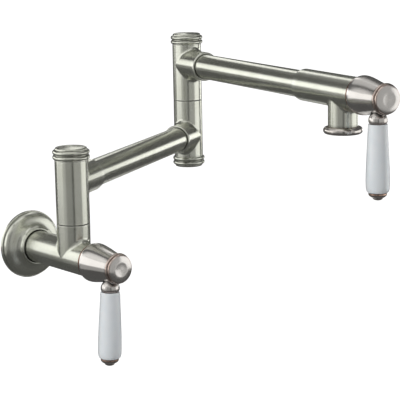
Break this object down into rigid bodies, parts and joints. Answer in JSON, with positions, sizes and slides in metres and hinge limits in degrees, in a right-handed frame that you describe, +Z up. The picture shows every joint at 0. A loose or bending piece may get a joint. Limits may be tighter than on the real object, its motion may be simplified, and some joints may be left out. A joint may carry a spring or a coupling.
{
  "type": "wall mounted pot filler",
  "caption": "Jointed wall tap for filling pots: flange and lever valve at the wall, swivel columns, folding arms and a spout with its own lever valve.",
  "frame": {"origin": "centre of the inlet's mouth, on the wall plane", "axes": "+X to the right as seen from the room, +Y into the wall along the inlet, +Z up"},
  "size_m": [0.296, 0.3758, 0.2654],
  "materials": {
    "satin_nickel": "warm satin nickel over brass",
    "polished_nickel": "brightly polished nickel over brass",
    "inner_brass": "machined, uncoated",
    "porcelain": "white glazed porcelain",
    "disc_ceramic": "lapped alumina",
    "seal_rubber": "smooth black rubber",
    "slide_plastic": "off-white acetal",
    "seam_copper": "bare coppery ring in the seam"
  },
  "bodies": {
    "wall_base": {"wall_flange": "satin_nickel", "flange_rubber_ring": "seal_rubber", "wall_valve_body": "satin_nickel", "wall_spindle": "inner_brass", "wall_spindle_o_rings": "seal_rubber", "wall_slide_washers": "slide_plastic", "wall_spindle_nut": "inner_brass", "wall_cartridge_body": "inner_brass", "wall_seat_seal": "seal_rubber", "wall_fixed_disc": "disc_ceramic", "wall_cartridge_o_ring": "seal_rubber", "wall_bonnet_nut": "inner_brass", "wall_hub_ring": "seam_copper"},
    "wall_lever": {"wall_stem": "inner_brass", "wall_turning_disc": "disc_ceramic", "wall_lever_hub": "polished_nickel", "wall_hub_screw": "inner_brass", "wall_end_cap": "polished_nickel", "wall_lever_collar": "polished_nickel", "wall_lever_grip": "porcelain", "wall_lever_rod": "inner_brass", "wall_grip_washers": "seal_rubber", "wall_end_nut": "polished_nickel"},
    "lower_arm": {"wall_column": "satin_nickel", "wall_column_cap": "satin_nickel", "lower_arm_tube": "satin_nickel", "elbow_lower_housing": "satin_nickel", "elbow_bottom_cap": "satin_nickel", "elbow_spindle": "inner_brass", "elbow_spindle_o_rings": "seal_rubber", "elbow_slide_washers": "slide_plastic", "elbow_spindle_nut": "inner_brass", "elbow_spindle_plug": "inner_brass"},
    "upper_arm": {"elbow_upper_housing": "satin_nickel", "elbow_top_cap": "satin_nickel", "upper_arm_tube": "satin_nickel", "spout_valve_body": "satin_nickel", "aerator_collar": "polished_nickel", "aerator_insert": "slide_plastic", "aerator_gasket": "seal_rubber", "spout_cartridge_body": "inner_brass", "spout_seat_seal": "seal_rubber", "spout_fixed_disc": "disc_ceramic", "spout_cartridge_o_ring": "seal_rubber", "spout_bonnet_nut": "inner_brass", "spout_hub_ring": "seam_copper"},
    "spout_lever": {"spout_stem": "inner_brass", "spout_turning_disc": "disc_ceramic", "spout_lever_hub": "polished_nickel", "spout_hub_screw": "inner_brass", "spout_end_cap": "polished_nickel", "spout_lever_collar": "polished_nickel", "spout_lever_grip": "porcelain", "spout_lever_rod": "inner_brass", "spout_grip_washers": "seal_rubber", "spout_end_nut": "polished_nickel"}
  },
  "joints": [
    {"name": "wall_swivel", "type": "hinge", "parent": "wall_base", "child": "lower_arm", "pos_m": [0, -0.0736, 0.068], "axis": [0, 0, 1], "continuous": true},
    {"name": "elbow_swivel", "type": "hinge", "parent": "lower_arm", "child": "upper_arm", "pos_m": [0.24782, 0.0649, 0.144], "axis": [0, 0, 1], "continuous": true},
    {"name": "wall_lever_turn", "type": "hinge", "parent": "wall_base", "child": "wall_lever", "pos_m": [0, -0.1276, 0], "axis": [0, -1, 0], "range_deg": [0, 90]},
    {"name": "spout_lever_turn", "type": "hinge", "parent": "upper_arm", "child": "spout_lever", "pos_m": [0.17888, -0.27702, 0.144], "axis": [-0.1977, -0.9803, 0], "range_deg": [0, 90]}
  ]
}
